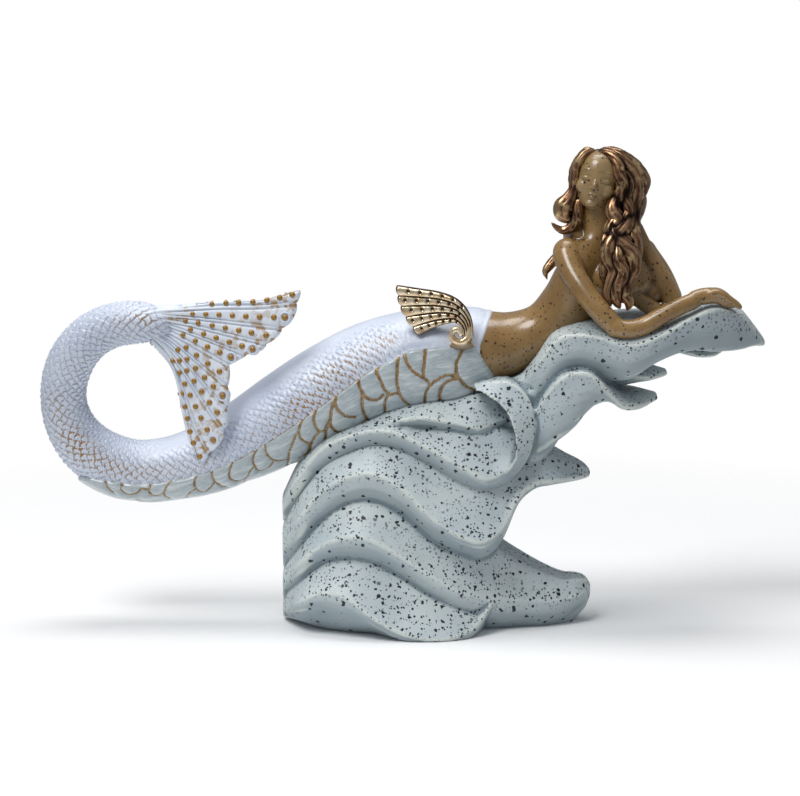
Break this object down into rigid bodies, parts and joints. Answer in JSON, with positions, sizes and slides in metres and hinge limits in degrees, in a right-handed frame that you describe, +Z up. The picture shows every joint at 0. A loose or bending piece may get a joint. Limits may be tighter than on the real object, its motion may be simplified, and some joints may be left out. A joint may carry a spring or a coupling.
{
  "type": "mermaid figurine",
  "caption": "One-piece cast resin figurine of a mermaid resting on a breaking wave, her tail curled into an open loop with spread flukes.",
  "frame": {"origin": "on the underside of the wave's foot, near its middle, on the surface that the figurine stands on", "axes": "+X from the tail loop to the hands, +Z up, the near side of the figure faces -Y"},
  "size_m": [0.2995, 0.0819, 0.1997],
  "materials": {
    "wave_glaze": "pale blue-grey gloss paint with dark speckles on cast resin",
    "tail_paint": "white and lavender-blue paint, gold wash in the recesses",
    "belly_paint": "pearly grey-green plates with golden-brown outlines",
    "skin_paint": "glossy ochre tan with small dark speckles",
    "bronze_gold_paint": "metallic bronze-gold paint, dark in the recesses"
  },
  "bodies": {
    "root": {"mermaid_figurine": "wave_glaze"}
  },
  "joints": []
}
